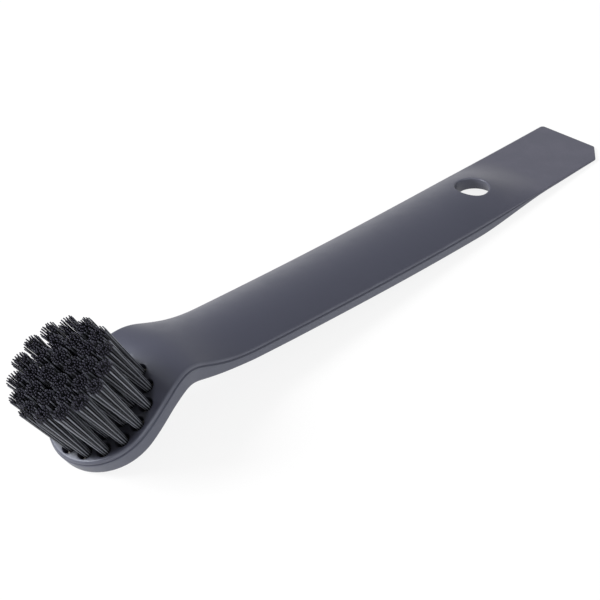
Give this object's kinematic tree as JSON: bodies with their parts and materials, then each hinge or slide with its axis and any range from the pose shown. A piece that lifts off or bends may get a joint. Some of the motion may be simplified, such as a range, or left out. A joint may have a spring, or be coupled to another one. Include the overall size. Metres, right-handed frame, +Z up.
{
  "type": "cleaning brush",
  "caption": "Hand-held cleaning brush with a round tilted bristle head, an arched grip with a hang hole, and a flat scraper blade at the other end.",
  "frame": {"origin": "middle of the bounding box's bottom face, on the surface that the brush lies on", "axes": "+X from the brush head to the scraper blade, +Z up with the bristles pointing up and forward, cut blade corner on the -Y side"},
  "size_m": [0.2, 0.0304, 0.0332],
  "materials": {
    "handle_plastic": "satin moulded polypropylene, slate grey, fine even grain",
    "bristle_nylon": "black nylon filament, slightly glossy along the strands, cut ends rough",
    "anchor_wire": "flat nickel-silver staple wire, drawn, hidden in the tuft holes"
  },
  "bodies": {
    "root": {"handle": "handle_plastic", "tuft_outer_01": "bristle_nylon", "tuft_outer_02": "bristle_nylon", "tuft_outer_03": "bristle_nylon", "tuft_outer_04": "bristle_nylon", "tuft_outer_05": "bristle_nylon", "tuft_outer_06": "bristle_nylon", "tuft_outer_07": "bristle_nylon", "tuft_outer_08": "bristle_nylon", "tuft_outer_09": "bristle_nylon", "tuft_outer_10": "bristle_nylon", "tuft_outer_11": "bristle_nylon", "tuft_outer_12": "bristle_nylon", "tuft_outer_13": "bristle_nylon", "tuft_outer_14": "bristle_nylon", "tuft_outer_15": "bristle_nylon", "tuft_middle_01": "bristle_nylon", "tuft_middle_02": "bristle_nylon", "tuft_middle_03": "bristle_nylon", "tuft_middle_04": "bristle_nylon", "tuft_middle_05": "bristle_nylon", "tuft_middle_06": "bristle_nylon", "tuft_middle_07": "bristle_nylon", "tuft_middle_08": "bristle_nylon", "tuft_middle_09": "bristle_nylon", "tuft_middle_10": "bristle_nylon", "tuft_inner_01": "bristle_nylon", "tuft_inner_02": "bristle_nylon", "tuft_inner_03": "bristle_nylon", "tuft_inner_04": "bristle_nylon", "anchor_outer_01": "anchor_wire", "anchor_outer_02": "anchor_wire", "anchor_outer_03": "anchor_wire", "anchor_outer_04": "anchor_wire", "anchor_outer_05": "anchor_wire", "anchor_outer_06": "anchor_wire", "anchor_outer_07": "anchor_wire", "anchor_outer_08": "anchor_wire", "anchor_outer_09": "anchor_wire", "anchor_outer_10": "anchor_wire", "anchor_outer_11": "anchor_wire", "anchor_outer_12": "anchor_wire", "anchor_outer_13": "anchor_wire", "anchor_outer_14": "anchor_wire", "anchor_outer_15": "anchor_wire", "anchor_middle_01": "anchor_wire", "anchor_middle_02": "anchor_wire", "anchor_middle_03": "anchor_wire", "anchor_middle_04": "anchor_wire", "anchor_middle_05": "anchor_wire", "anchor_middle_06": "anchor_wire", "anchor_middle_07": "anchor_wire", "anchor_middle_08": "anchor_wire", "anchor_middle_09": "anchor_wire", "anchor_middle_10": "anchor_wire", "anchor_inner_01": "anchor_wire", "anchor_inner_02": "anchor_wire", "anchor_inner_03": "anchor_wire", "anchor_inner_04": "anchor_wire"}
  },
  "joints": []
}
